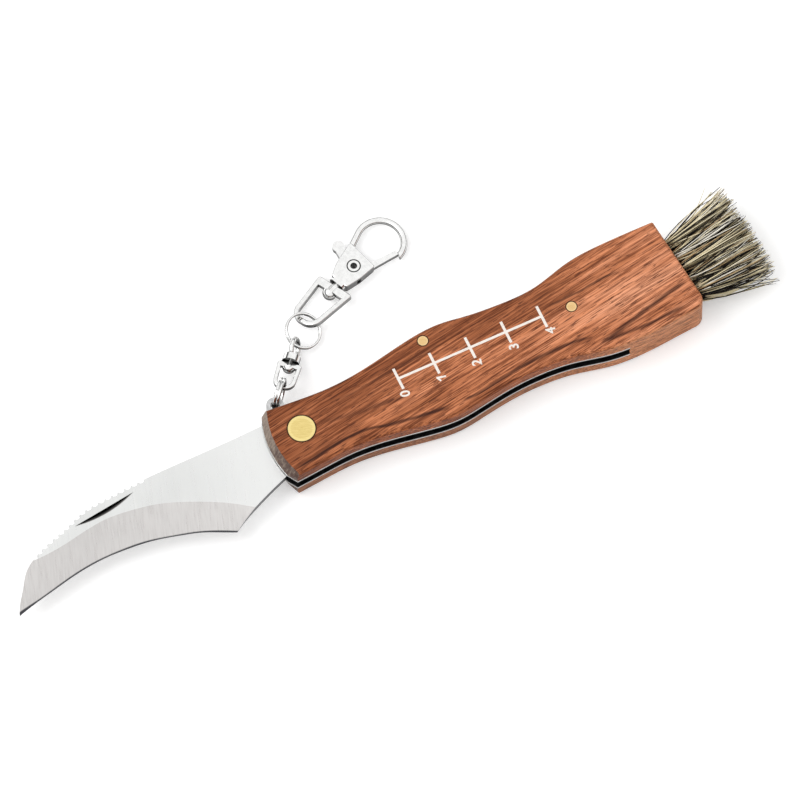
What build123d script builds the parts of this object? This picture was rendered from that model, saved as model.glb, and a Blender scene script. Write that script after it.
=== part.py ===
"""Folding mushroom knife with a ruler handle, a butt brush and a snap hook on a short chain.

Millimetres. The knife lies on its back face at z = 0, opened. +X runs along the handle
towards the brush, +Y towards the spine side and +Z out of the ruler face. The origin is
on the back face, in the middle of the handle's length; the blade pivot is left of it.
Shapes are drawn about the pivot and moved there at the end. Open is the rest position:
the blade folds counter-clockwise seen from above.
"""

from build123d import *
import math
import os

# Handle
handle_length = 117.35
handle_width = 28.0
handle_thickness = 13.0
nose_length = 9.05
long_edge_radius = 1.1
butt_top_radius = 0.5
butt_bottom_radius = 3.0
nose_bevel = 1.3
nose_bevel_depth = 4.0
pivot_x = -50.0

# Slot with its two liners and the backspring between them
liner_thickness = 0.8
blade_side_gap = 0.4
spring_arm = 1.25
slot_wall = 15.4
seat_gap = 0.02

# Blade; its reach follows from the slot that it folds into
blade_height = 17.0
blade_thickness = 2.0
edge_thickness = 0.3
tang_radius = 6.2
tang_gap = 0.1
stop_x = 3.6
stop_gap = 0.15
shoulder_step = 0.75
closed_gap = 0.4
tip_gap = 0.5
notch_radius = 0.85
notch_spacing = 1.9
notch_depth = 0.62
notch_count = 19
nick_wheel_radius = 66.0
nick_depth = 0.6
nick_width = 1.35

# Rivets and pins
pivot_head_radius = 3.5
pivot_head_depth = 1.2
pivot_tube_radius = 2.5
pivot_shank_radius = 1.5
pivot_running_gap = 0.05
pin_radius = 1.3
middle_pin_share = 0.4009
middle_pin_inset = 2.6
rear_pin_inset = 10.55
rear_pin_y = 2.3

# Lanyard lug on the front end of the backspring
lug_x = -2.65
lug_rise = 2.3
lug_radius = 2.3
lug_hole_radius = 1.2
lug_foot = 3.0

# Brush
pocket_width = 19.4
pocket_thickness = 8.0
pocket_depth = 6.0
pocket_y = 2.0
pocket_corner = 1.5
pocket_gap = 0.1
slice_thickness = 1.0
tuft_rows = 2
tufts_in_row = 5
strands_in_tuft = 42
tuft_radius = 1.5
tuft_margin = 0.8
tuft_row_margin = 0.5
strand_radius = 0.17
bristle_length = 21.0
bristle_uneven = 1.6
golden_angle = 137.508
fan_width = 4.7
fan_row_width = 5.4
fan_tuft_radius = 2.1
fan_shift = 0.3

# Lanyard ring through the lug, a double turn of wire
lanyard_ring_radius = 3.9
lanyard_wire = 0.9
lanyard_ring_yaw = 50.0
lanyard_split_turn_angle = 60.0

# Small swivel: a bow and an eye on one rivet
small_bow_width = 6.4
small_bow_length = 8.1
small_bow_nose_width = 5.6
small_bow_bar = 1.5
small_bow_thickness = 1.3
small_bow_side = 1.1
small_swivel_yaw = 50.7
small_swivel_pitch = -11.25
small_bow_roll = 0.0
small_bow_lap = 1.6
small_bow_sideways = 0.2
small_bow_drop = 0.8
small_stem_radius = 0.75
small_head_radius = 1.6
small_head_height = 1.1
swivel_gap = 0.25
bow_nose_share = 0.48
swivel_bore_gap = 0.08
eye_collar_radius = 2.3
eye_collar_height = 1.9
eye_radius = 2.6
eye_wire = 1.3
eye_roll = 74.0

# Split ring between the two swivels
split_ring_radius = 4.55
split_wire = 0.7
split_ring_yaw = 44.0
split_ring_tilt = 20.5
split_ring_lead_angle = 37.0
split_ring_z = 3.02
eye_play = 0.5
split_gap = 0.25
split_offset_angle = 40.0
split_turn_angle = -20.0
ring_turn_share = 0.9

# Large swivel bow and the snap hook
large_bow_width = 11.4
large_bow_length = 13.8
large_bow_nose_width = 8.0
large_bow_bar = 2.4
large_bow_thickness = 1.6
large_bow_side = 1.4
hook_yaw = 24.6
hook_z = 2.4
large_bow_overlap = 3.4
large_bow_sideways = 1.9
hook_pitch = -2.0
large_bow_roll = -17.0
large_stem_radius = 1.1
large_head_radius = 1.9
large_head_height = 1.7
collar_radius = 2.3
collar_height = 1.2
hook_body_length = 10.6
hook_body_thickness = 3.4
hook_cheek = 0.85
hook_corner = 0.6
hook_edge = 0.35
hook_loop_radius = 6.15
hook_loop_lead = 0.05
hook_loop_drop = 0.2
hook_wire = 1.9
hook_tip_angle = -90.0
hook_root_angle = 107.0
hook_root_share = 0.748
hook_rivet_share = 0.646
hook_rivet_radius = 1.1
hook_rivet_bore = 0.75
hook_rivet_flange = 1.6
hook_flange_thickness = 0.3
gate_tip_length = 0.1
lever_gap = 0.12
lever_pivot_gap = 0.06
lever_hub_share = 0.198
lever_tab_radius = 1.6
lever_spring_radius = 1.42
lever_spring_wire_share = 0.33
lever_spring_turns = 2
lever_spring_pitch_share = 1.15

overrun = 5.0

# Outline tables: shares of handle length from the nose, and of handle width from the pivot line
top_outline_shares = [
    (0.0149, 0.3036), (0.0943, 0.282), (0.1627, 0.273), (0.2480, 0.3055), (0.3334, 0.375),
    (0.4016, 0.425), (0.4528, 0.434), (0.5040, 0.409), (0.5894, 0.3857), (0.6747, 0.4054),
    (0.7601, 0.5018), (0.8455, 0.5411), (0.9723, 0.550),
]
bottom_outline_shares = [
    (0.0244, -0.4036), (0.0840, -0.3786), (0.1694, -0.3518), (0.2548, -0.3786),
    (0.3402, -0.4321), (0.4016, -0.4518), (0.4683, -0.4143), (0.5536, -0.3607),
    (0.6150, -0.350), (0.6816, -0.3696), (0.7670, -0.4375), (0.8113, -0.450),
    (0.8856, -0.4357), (1.0, -0.3929),
]
nose_middle_shares = (0.0, -0.0375)
nose_bottom_shares = (0.0098, -0.3071)

# Blade tables: shares of blade reach from the pivot, and of blade height from the pivot line
spine_shares = [
    (0.106, 0.406), (0.282, 0.3735), (0.478, 0.347), (0.6345, 0.288), (0.6933, 0.241),
    (0.752, 0.1235), (0.831, -0.012), (0.8895, -0.153), (0.9283, -0.306), (0.9553, -0.506),
    (0.987, -0.741), (1.0, -0.8824),
]
edge_shares = [
    (1.0, -0.8824), (0.9283, -0.7765), (0.8696, -0.7059), (0.8108, -0.6353), (0.752, -0.5824),
    (0.6933, -0.553), (0.6345, -0.553), (0.5758, -0.5706), (0.517, -0.6118), (0.4583, -0.6824),
    (0.3995, -0.7647), (0.3408, -0.894), (0.2996, -0.988),
]
choil_shares = [(0.2996, -0.988), (0.2233, -0.7647), (0.1645, -0.6294), (0.0905, -0.4824)]
tang_bottom_shares = (0.0306, -0.3294)
grind_shares = [
    (0.200, -0.790, -1.240), (0.248, -0.650, -1.100), (0.3208, -0.430, -0.930),
    (0.3995, -0.2471, -0.7647), (0.4783, -0.106, -0.6620), (0.5558, -0.0353, -0.580),
    (0.6345, -0.0059, -0.553), (0.7133, -0.0529, -0.560), (0.7908, -0.1294, -0.612),
    (0.8696, -0.170, -0.7059), (0.940, -0.190, -0.790), (1.03, -0.200, -0.9176),
]
serration_start_share = 0.495
nick_shares = ((0.7227, 0.088), (0.5417, 0.218))

# Backspring underside behind the tang, as shares of handle length and width
spring_under_shares = [
    (0.1473, 0.170), (0.2868, 0.235), (0.3415, 0.205), (0.3963, 0.180), (0.4960, 0.165),
    (0.5956, 0.125), (0.6752, 0.010), (0.7300, -0.065), (0.8545, -0.080),
]

# Snap hook tables: shares of the hook body's length, from the swivel gap
hook_body_shares = [
    (0.10, -0.235), (0.10, 0.235), (0.42, 0.370), (1.066, 0.490), (0.985, -0.385), (0.50, -0.335),
]
hook_slot_shares = [
    (0.415, 0.9), (0.934, 0.9), (0.885, 0.16), (1.20, 0.03), (1.20, -0.60), (0.415, -0.60),
]
lever_tab_shares = (0.821, 0.6415)
lever_arm_shares = [(0.50, 0.12), (0.675, 0.60), (0.90, 0.57), (0.81, 0.08)]
lever_gate_shares = [
    (0.475, -0.06), (0.53, -0.335), (0.985, -0.385), (1.70, -0.600), (1.70, -0.475),
    (1.06, -0.245), (0.84, -0.04),
]

middle_z = handle_thickness / 2
spring_thickness = blade_thickness + 2 * blade_side_gap
slot_thickness = spring_thickness + 2 * liner_thickness
slot_radius = handle_length - nose_length - pocket_depth - slot_wall
blade_reach = math.sqrt((slot_radius - tip_gap) ** 2 - (spine_shares[-1][1] * blade_height) ** 2)
rear_pin_x = slot_radius - rear_pin_inset
middle_pin_x = middle_pin_share * handle_length - nose_length
backing_width = pocket_width - 2 * pocket_gap
backing_thickness = pocket_thickness - 2 * pocket_gap
tuft_spacing = (backing_width - 2 * (tuft_radius + tuft_margin)) / (tufts_in_row - 1)
tuft_row_spacing = (backing_thickness - 2 * (tuft_radius + tuft_row_margin)) / (tuft_rows - 1)
hook_rivet_x = hook_rivet_share * hook_body_length
hook_loop_x = hook_body_length + hook_loop_radius + hook_loop_lead
lever_thickness = hook_body_thickness - 2 * hook_cheek - 2 * lever_gap
lever_hub_radius = lever_hub_share * hook_body_length
lever_spring_wire = lever_spring_wire_share * lever_thickness / 2
gate_reach = math.hypot(hook_loop_x - hook_rivet_x, hook_loop_radius + hook_loop_drop) + gate_tip_length


def handle_point(shares):
    """A point of the handle outline, from its shares."""
    return (-nose_length + shares[0] * handle_length, shares[1] * handle_width)


def blade_point(shares):
    """A point of the opened blade, from its shares."""
    return (-shares[0] * blade_reach, shares[1] * blade_height)


def turned(point, degrees):
    """A point turned about the pivot."""
    angle = math.radians(degrees)
    return (
        point[0] * math.cos(angle) - point[1] * math.sin(angle),
        point[0] * math.sin(angle) + point[1] * math.cos(angle),
    )


def top_height(x):
    """Height of the handle's top outline at a distance along the handle."""
    top = Spline(*[handle_point(s) for s in top_outline_shares])
    low = 0.0
    high = 1.0
    for _ in range(40):
        middle = (low + high) / 2
        if (top @ middle).X < x:
            low = middle
        else:
            high = middle
    return (top @ low).Y


def lug_place():
    """Where the lanyard lug stands, a little over the handle's outline."""
    return (lug_x, top_height(lug_x) + lug_rise)


def tang_corner():
    """Where the round tang of the opened blade meets the straight run to the choil."""
    x, y = blade_point(tang_bottom_shares)
    share = tang_radius / math.hypot(x, y)
    return (x * share, y * share)


def closing_angle():
    """How far the blade folds: until its heel is a gap short of the backspring's arm."""
    heel = blade_point(edge_shares[-1])
    low = 90.0
    high = 180.0
    for _ in range(30):
        middle = (low + high) / 2
        x, y = turned(heel, middle)
        if y + closed_gap + spring_arm < top_height(x):
            low = middle
        else:
            high = middle
    return low


def plate(face, thickness, z_middle):
    """A flat plate about a height, from a face in the XY plane."""
    return Pos(0, 0, z_middle - thickness / 2) * extrude(face, thickness)


def rod(x, y, z_low, z_high, radius):
    """An upright cylinder between two heights."""
    return Pos(x, y, (z_low + z_high) / 2) * Cylinder(radius, z_high - z_low)


def handle_face():
    """The waved outline shared by the wood, the liners and the backspring."""
    top = Spline(*[handle_point(s) for s in top_outline_shares])
    bottom = Spline(*[handle_point(s) for s in bottom_outline_shares])
    butt = Line(top @ 1, bottom @ 1)
    nose_bottom = handle_point(nose_bottom_shares)
    corner = Line(bottom @ 0, nose_bottom)
    nose = ThreePointArc(nose_bottom, handle_point(nose_middle_shares), top @ 0)
    return make_face([top, butt, bottom, corner, nose])


def nose_arc():
    """Centre and radius of the arc that rounds the nose, seen from above."""
    arc = ThreePointArc(
        handle_point(nose_bottom_shares),
        handle_point(nose_middle_shares),
        handle_point(top_outline_shares[0]),
    )
    return arc.arc_center, arc.radius


def nose_bevel_tool():
    """What a bevel on both faces takes off the nose: outside a barrel about the nose arc."""
    centre, radius = nose_arc()
    reach = radius + handle_width
    low = -overrun
    high = handle_thickness + overrun
    slope = nose_bevel / nose_bevel_depth
    section = Polyline(
        (reach, low),
        (radius - nose_bevel + slope * low, low),
        (radius, nose_bevel_depth),
        (radius, handle_thickness - nose_bevel_depth),
        (radius - nose_bevel + slope * low, high),
        (reach, high),
        close=True,
    )
    face = make_face(Plane.XZ * section)
    ring = revolve(face, Axis.Z)
    left = Pos(-reach, 0, middle_z) * Box(2 * reach, 2 * reach, handle_thickness + 4 * overrun)
    return Pos(centre.X, centre.Y, 0) * (ring & left)


def butt_plane():
    """The plane of the slanted butt: x along the handle's width, z out of the wood."""
    top = Vector(*handle_point(top_outline_shares[-1]))
    bottom = Vector(*handle_point(bottom_outline_shares[-1]))
    share = (top.Y - pocket_y) / (top.Y - bottom.Y)
    middle = top + (bottom - top) * share
    outward = (bottom - top).rotate(Axis.Z, 90).normalized()
    return Plane(
        origin=(middle.X, middle.Y, middle_z),
        x_dir=(top - bottom).normalized(),
        z_dir=outward,
    )


def pocket_prism(clearance, depth_top, depth_bottom):
    """A rounded block in the brush pocket, between two depths under the butt."""
    face = RectangleRounded(
        pocket_width - 2 * clearance, pocket_thickness - 2 * clearance, pocket_corner - clearance
    )
    body = extrude(face, depth_bottom - depth_top)
    return butt_plane().offset(-depth_bottom) * body


def pin_places():
    """Where the two plain pins stand."""
    return [(middle_pin_x, top_height(middle_pin_x) - middle_pin_inset), (rear_pin_x, rear_pin_y)]


def handle_block():
    """One block of wood with the blade slot, the brush pocket and the rivet holes."""
    block = plate(handle_face(), handle_thickness, middle_z)
    butt_corners = [
        (bottom_outline_shares[-1], butt_bottom_radius),
        (top_outline_shares[-1], butt_top_radius),
    ]
    for shares, radius in butt_corners:
        corner = Vector(*handle_point(shares), middle_z)
        upright = block.edges().filter_by(Axis.Z)
        block = fillet(upright.sort_by_distance(corner)[0], radius)
    nose_end = handle_point(bottom_outline_shares[0])[0]
    flats = block.faces().filter_by(Plane.XY)
    rims = ShapeList([e for f in flats for e in f.edges()])
    long_rims = rims.filter_by(lambda e: e.center().X > nose_end)
    block = fillet(long_rims, long_edge_radius)
    block -= nose_bevel_tool()
    block -= plate(Circle(slot_radius), slot_thickness, middle_z)
    block -= pocket_prism(0, -overrun, pocket_depth)
    for x, y in pin_places():
        block -= rod(x, y, -overrun, handle_thickness + overrun, pin_radius + seat_gap)
    block -= rod(0, 0, -overrun, handle_thickness + overrun, pivot_tube_radius + seat_gap)
    head_hole = pivot_head_radius + seat_gap
    block -= rod(0, 0, -overrun, pivot_head_depth + seat_gap, head_hole)
    under_head = handle_thickness - pivot_head_depth - seat_gap
    block -= rod(0, 0, under_head, handle_thickness + overrun, head_hole)
    return block


def liner(z_middle):
    """A steel liner along one wall of the slot."""
    face = handle_face() & Circle(slot_radius)
    sheet = plate(face, liner_thickness, z_middle)
    for x, y in pin_places():
        sheet -= rod(x, y, 0, handle_thickness, pin_radius + seat_gap)
    sheet -= rod(0, 0, 0, handle_thickness, pivot_tube_radius + seat_gap)
    return sheet


def closed_blade_room():
    """All that lies under the edge and choil of the folded blade, lifted by the closed gap."""
    opened = [
        Spline(*[blade_point(s) for s in edge_shares]),
        Spline(*[blade_point(s) for s in choil_shares]),
        Line(blade_point(choil_shares[-1]), tang_corner()),
    ]
    lifted = Pos(0, closed_gap) * Rot(0, 0, closing_angle())
    folded = [lifted * line for line in opened]
    tip = folded[0] @ 0
    root = folded[-1] @ 1
    low_tip = Vector(tip.X, -handle_width)
    low_root = Vector(root.X, -handle_width)
    return make_face(folded + [Line(root, low_root), Line(low_root, low_tip), Line(low_tip, tip)])


def shoulder_room():
    """The corner that the opened blade's shoulder takes, in front of the stop."""
    height = tang_radius + shoulder_step + stop_gap
    return Pos(-stop_x - height / 2, height / 2) * Rectangle(height, height)


def backspring():
    """The bar between the liners: a foot on the tang, a thin arm, and the pinned rear end."""
    foot_radius = tang_radius + tang_gap
    foot_front = math.sqrt(foot_radius**2 - stop_x**2)
    under = [handle_point(s) for s in spring_under_shares]
    top = [(slot_radius, under[-1][1]), (slot_radius, handle_width)]
    blank_points = [(-stop_x, foot_front / 2), (stop_x, foot_front / 2)] + under + top
    blank = make_face(Polyline(*blank_points, (-stop_x, handle_width), close=True))
    face = blank & handle_face() & Circle(slot_radius)
    lug = lug_place()
    face += Pos(*lug) * Circle(lug_radius)
    face += Pos(lug[0], lug[1] - lug_foot / 2) * Rectangle(2 * lug_radius, lug_foot)
    face -= Circle(foot_radius)
    face -= shoulder_room()
    face -= closed_blade_room()
    bar = plate(face, spring_thickness, middle_z)
    bar -= rod(*lug, 0, handle_thickness, lug_hole_radius)
    for x, y in pin_places():
        bar -= rod(x, y, 0, handle_thickness, pin_radius + seat_gap)
    return bar


def blade_outline():
    """The opened blade from above, before the serrations are cut."""
    spine_points = [blade_point(s) for s in spine_shares]
    edge_points = [blade_point(s) for s in edge_shares]
    choil_points = [blade_point(s) for s in choil_shares]
    shoulder_x = -stop_x - stop_gap
    shoulder = (shoulder_x, tang_radius + shoulder_step)
    tang_top = (shoulder_x, math.sqrt(tang_radius**2 - shoulder_x**2))
    tang_end = tang_corner()
    spine = Spline(*spine_points)
    edge = Spline(*edge_points)
    choil = Spline(*choil_points)
    root = Line(shoulder, spine @ 0)
    step = Line(tang_top, shoulder)
    tang = ThreePointArc(tang_top, (tang_radius, 0), tang_end)
    closing = Line(choil @ 1, tang_end)
    return make_face([root, spine, edge, choil, closing, tang, step])


def grind_tool():
    """What the bevel takes off one face: a wedge from the grind line out past the edge."""
    half = blade_thickness / 2
    half_edge = edge_thickness / 2
    sections = []
    for x_share, grind_share, edge_share in grind_shares:
        x = -x_share * blade_reach
        grind_y = grind_share * blade_height
        edge_y = edge_share * blade_height
        slope = (half - half_edge) / (grind_y - edge_y)
        rise = nick_depth
        start = (grind_y + rise / slope, half + rise)
        out = (edge_y - half_edge / slope, 0)
        corner = (out[0], half + rise)
        plane = Plane(origin=(x, 0, 0), x_dir=(0, 1, 0), z_dir=(1, 0, 0))
        sections.append(plane * make_face(Polyline(start, out, corner, close=True)))
    return loft(sections)


def nick_tool():
    """The grinding wheel that sinks the nail nick into the front face."""
    start = Vector(*blade_point(nick_shares[0]))
    end = Vector(*blade_point(nick_shares[1]))
    middle = (start + end) / 2
    along = (end - start).normalized()
    across = Vector(along.Y, -along.X)
    height = blade_thickness / 2 + nick_wheel_radius - nick_depth
    wheel = Plane(origin=(middle.X, middle.Y, height), x_dir=along, z_dir=across)
    cone = Cone(nick_wheel_radius, nick_wheel_radius - nick_depth, nick_width)
    return wheel * Pos(0, 0, nick_width / 2) * cone


def serration_tool():
    """Round notches along the outer half of the spine."""
    spine = Spline(*[blade_point(s) for s in spine_shares])
    start = serration_start_share * blade_reach
    first = 0.0
    while -(spine @ first).X < start:
        first += 1 / len(spine_shares) / notch_count
    tools = []
    for i in range(notch_count):
        at = first + i * notch_spacing / spine.length
        point = spine @ at
        inward = (spine % at).rotate(Axis.Z, 90)
        centre = point - inward * (notch_radius - notch_depth)
        tools.append(Pos(centre.X, centre.Y) * Cylinder(notch_radius, blade_thickness + overrun))
    return tools


def blade():
    """Hawkbill blade with a bevel on each face, a serrated spine and a nail nick."""
    body = plate(blade_outline(), blade_thickness, 0)
    bevel = grind_tool()
    body -= bevel
    body -= mirror(bevel, Plane.XY)
    for tool in serration_tool():
        body -= tool
    body -= nick_tool()
    body -= Cylinder(pivot_tube_radius + pivot_running_gap, blade_thickness + overrun)
    return Pos(0, 0, middle_z) * body


def pivot_rivet():
    """Male half of the pivot rivet, its wide brass head in the front face."""
    head = rod(0, 0, handle_thickness - pivot_head_depth, handle_thickness, pivot_head_radius)
    shank = rod(0, 0, pivot_head_depth + seat_gap, handle_thickness, pivot_shank_radius)
    return head + shank


def pivot_sleeve():
    """Female half of the pivot rivet; the blade turns on its tube."""
    head = rod(0, 0, 0, pivot_head_depth, pivot_head_radius)
    top = handle_thickness - pivot_head_depth - seat_gap
    tube = rod(0, 0, 0, top, pivot_tube_radius)
    bore = rod(0, 0, pivot_head_depth, handle_thickness, pivot_shank_radius + seat_gap)
    return head + tube - bore


def pin(place):
    """A plain brass pin through wood, liners and backspring."""
    return rod(place[0], place[1], 0, handle_thickness, pin_radius)


def brush_block():
    """Wooden block glued in the pocket, behind the slice that carries the tufts."""
    return pocket_prism(pocket_gap, slice_thickness, pocket_depth - pocket_gap)


def strand(index, tuft_column, tuft_row):
    """One bristle: a slim three-sided rod from its tuft to its place in the fan."""
    golden = math.radians(golden_angle)
    share = math.sqrt((index + 0.5) / strands_in_tuft)
    turn = index * golden + tuft_column + tuft_row / 2
    column = tuft_column - (tufts_in_row - 1) / 2
    row = tuft_row - (tuft_rows - 1) / 2
    root_u = column * tuft_spacing + share * tuft_radius * math.cos(turn)
    root_v = row * tuft_row_spacing + share * tuft_radius * math.sin(turn)
    tip_u = column * fan_width + share * fan_tuft_radius * math.cos(turn) + fan_shift
    tip_v = row * fan_row_width + share * fan_tuft_radius * math.sin(turn)
    uneven = math.sin(7 * turn + 3 * tuft_column) * bristle_uneven / 2
    reach = Vector(tip_u - root_u, tip_v - root_v, bristle_length + uneven)
    corners = [
        (root_u + strand_radius * math.cos(turn + k), root_v + strand_radius * math.sin(turn + k))
        for k in (0, 2 * math.pi / 3, 4 * math.pi / 3)
    ]
    return corners, reach


def brush_bristles():
    """All tufts on the slice of backing that closes the pocket."""
    base = pocket_prism(pocket_gap, 0, slice_thickness - pocket_gap)
    plane = butt_plane()
    root = plane.offset(-slice_thickness / 4)
    lean = plane.to_local_coords(Vector(0, 0, 0))
    rods = []
    for row in range(tuft_rows):
        for column in range(tufts_in_row):
            for index in range(strands_in_tuft):
                corners, reach = strand(index, column, row)
                foot = make_face(root * Polyline(*corners, close=True))
                direction = plane.from_local_coords(reach + lean)
                rods.append(Solid.extrude(foot.face(), direction))
    return base.fuse(*rods)


def double_ring(radius, wire):
    """Two turns of round wire lying on each other, as a split ring has, about Z."""
    half = wire / 2
    turn = revolve(Plane.XZ * Pos(radius, half * ring_turn_share) * Circle(half), Axis.Z)
    return turn + mirror(turn, Plane.XY)


def split_marks(ring, radius, wire):
    """The cut ends of the two turns, half a turn apart."""
    cut = Box(3 * wire, split_gap, wire)
    ring -= Pos(-radius, 0, wire / 2) * cut
    ring -= Rot(0, 0, split_offset_angle) * Pos(radius, 0, -wire / 2) * cut
    return ring


def link_plane(origin, yaw, pitch, roll):
    """A plane whose x runs along a link, tipped by pitch and then rolled about x."""
    along = Vector(1, 0, 0).rotate(Axis.Y, -pitch).rotate(Axis.Z, yaw)
    up = Vector(0, 0, 1).rotate(Axis.Y, -pitch).rotate(Axis.Z, yaw)
    up = up.rotate(Axis((0, 0, 0), along), roll)
    return Plane(origin=origin, x_dir=along, z_dir=up)


def lanyard_ring_plane():
    """The upright plane of the ring, centred so that its wire lies in the lug's hole."""
    lug = Vector(*lug_place(), middle_z)
    along = Vector(1, 0, 0).rotate(Axis.Z, lanyard_ring_yaw)
    return link_plane(lug + along * lanyard_ring_radius, lanyard_ring_yaw, 0, 90)


def small_swivel_plane(roll):
    """Frame of the small swivel: origin in the gap between its bow and its eye."""
    ring = lanyard_ring_plane()
    lap = Vector(lanyard_ring_radius - small_bow_lap, -small_bow_drop, small_bow_sideways)
    start = ring.from_local_coords(lap)
    frame = link_plane(start, small_swivel_yaw, small_swivel_pitch, roll)
    gap = frame.from_local_coords(Vector(small_bow_length - small_bow_side / 2, 0, 0))
    return link_plane(gap, small_swivel_yaw, small_swivel_pitch, roll)


def bow(width, length, nose, bar, side, thickness, bore):
    """A flat swivel bow: straight bar with the rivet's bore at x = 0, round nose at -x."""
    outer = make_face(
        Polyline((0, -width / 2), (0, width / 2), (-length, nose / 2), (-length, -nose / 2), close=True)
    )
    corners = outer.vertices().sort_by(Axis.X)
    outer = fillet(corners[:2], nose * bow_nose_share)
    outer = fillet(outer.vertices().sort_by(Axis.X)[-2:], side / 2)
    inner = offset(outer, -side, kind=Kind.INTERSECTION)
    window = Pos(-bar - length / 2, 0) * Rectangle(length, width)
    body = plate(outer - (inner & window), thickness, 0)
    body = fillet(body.edges().filter_by(lambda e: abs(e.center().Z) > thickness / 3), side / 4)
    return body - Rot(0, 90, 0) * Cylinder(bore, 3 * bar)


def swivel_rivet(stem_radius, head_radius, head_height, bar):
    """Stem through the bow's bar, with the domed head that holds it inside the bow."""
    stem_start = swivel_gap
    stem_end = -bar - swivel_gap - head_height / 2
    length = stem_start - stem_end
    stem = Pos((stem_start + stem_end) / 2, 0, 0) * Rot(0, 90, 0) * Cylinder(stem_radius, length)
    base_x = -bar - swivel_gap
    dome_radius = (head_radius**2 + head_height**2) / (2 * head_height)
    ball = Pos(base_x - head_height + dome_radius, 0, 0) * Sphere(dome_radius)
    before_base = Pos(base_x - dome_radius, 0, 0) * Box(2 * dome_radius, 2 * dome_radius, 2 * dome_radius)
    return stem + (ball & before_base)


def small_bow():
    """Bow of the small swivel, hung in the lanyard ring."""
    body = bow(
        small_bow_width, small_bow_length, small_bow_nose_width, small_bow_bar, small_bow_side,
        small_bow_thickness, small_stem_radius + swivel_bore_gap,
    )
    return small_swivel_plane(small_bow_roll) * body


def small_eye():
    """Eye of the small swivel, with its collar and rivet."""
    collar = Pos(swivel_gap + eye_collar_height / 2, 0, 0) * Rot(0, 90, 0) * Cylinder(
        eye_collar_radius, eye_collar_height
    )
    centre_x = swivel_gap + eye_collar_height + eye_radius
    loop = Pos(centre_x, 0, 0) * Torus(eye_radius, eye_wire / 2)
    rivet = swivel_rivet(small_stem_radius, small_head_radius, small_head_height, small_bow_bar)
    return small_swivel_plane(eye_roll) * (collar + loop + rivet)


def eye_tip():
    """Far end of the eye's wire, from which the split ring is placed."""
    x = swivel_gap + eye_collar_height + 2 * eye_radius
    return small_swivel_plane(0).from_local_coords(Vector(x, 0, 0))


def split_ring_plane():
    """The tilted plane of the split ring, hung through the small eye."""
    lead = Vector(1, 0, 0).rotate(Axis.Z, split_ring_lead_angle)
    reach = split_ring_radius - eye_wire / 2 - split_wire / 2 - eye_play
    spot = eye_tip() + lead * reach
    return link_plane((spot.X, spot.Y, split_ring_z), split_ring_yaw, 0, split_ring_tilt)


def hook_plane(roll):
    """Frame of the snap hook and the large bow: origin in the gap between them."""
    along = Vector(1, 0, 0).rotate(Axis.Z, hook_yaw)
    left = Vector(0, 1, 0).rotate(Axis.Z, hook_yaw)
    reach = large_bow_length + split_ring_radius - large_bow_overlap
    spot = split_ring_plane().origin + along * reach + left * large_bow_sideways
    return link_plane((spot.X, spot.Y, hook_z), hook_yaw, hook_pitch, roll)


def lanyard_ring():
    """Upright double ring through the lug."""
    ring = split_marks(double_ring(lanyard_ring_radius, lanyard_wire), lanyard_ring_radius, lanyard_wire)
    return lanyard_ring_plane() * Rot(0, 0, lanyard_split_turn_angle) * ring


def split_ring():
    """Double ring that joins the two swivels."""
    ring = split_marks(double_ring(split_ring_radius, split_wire), split_ring_radius, split_wire)
    return split_ring_plane() * Rot(0, 0, split_turn_angle) * ring


def large_bow():
    """D-shaped bow of the snap hook's swivel."""
    body = bow(
        large_bow_width, large_bow_length, large_bow_nose_width, large_bow_bar, large_bow_side,
        large_bow_thickness, large_stem_radius + swivel_bore_gap,
    )
    return hook_plane(large_bow_roll) * body


def hook_point(shares):
    """A point of the snap hook, from its shares of the hook body's length."""
    return (shares[0] * hook_body_length, shares[1] * hook_body_length)


def hook_loop():
    """The hook's round loop, cut short where the gate closes against its tip."""
    centre = Vector(hook_loop_x, -hook_loop_drop)
    spots = []
    for degrees in (hook_tip_angle, 0, hook_root_angle):
        angle = math.radians(degrees)
        spots.append(centre + Vector(math.cos(angle), math.sin(angle)) * hook_loop_radius)
    round_part = ThreePointArc(*spots)
    root = (round_part @ 1) + (round_part % 1) * hook_loop_radius * hook_root_share
    path = Wire([round_part, Line(round_part @ 1, root)])
    wire = sweep(Plane(origin=path @ 0, z_dir=path % 0) * Circle(hook_wire / 2), path=path)
    swing = Pos(hook_rivet_x, 0, 0) * Cylinder(gate_reach + lever_gap, 2 * hook_wire)
    below = Pos(hook_loop_x, -hook_loop_radius, 0) * Box(
        2 * hook_loop_radius, hook_loop_radius, 2 * hook_wire
    )
    return wire - (swing & below)


def hook_rivet_hole():
    """Bore and countersinks for the tubular rivet that carries the lever."""
    half = hook_body_thickness / 2
    bore = rod(hook_rivet_x, 0, -half, half, hook_rivet_radius + seat_gap)
    sink = half - hook_flange_thickness
    over = rod(hook_rivet_x, 0, sink, half + overrun, hook_rivet_flange + seat_gap)
    under = rod(hook_rivet_x, 0, -half - overrun, -sink, hook_rivet_flange + seat_gap)
    return bore + over + under


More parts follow.
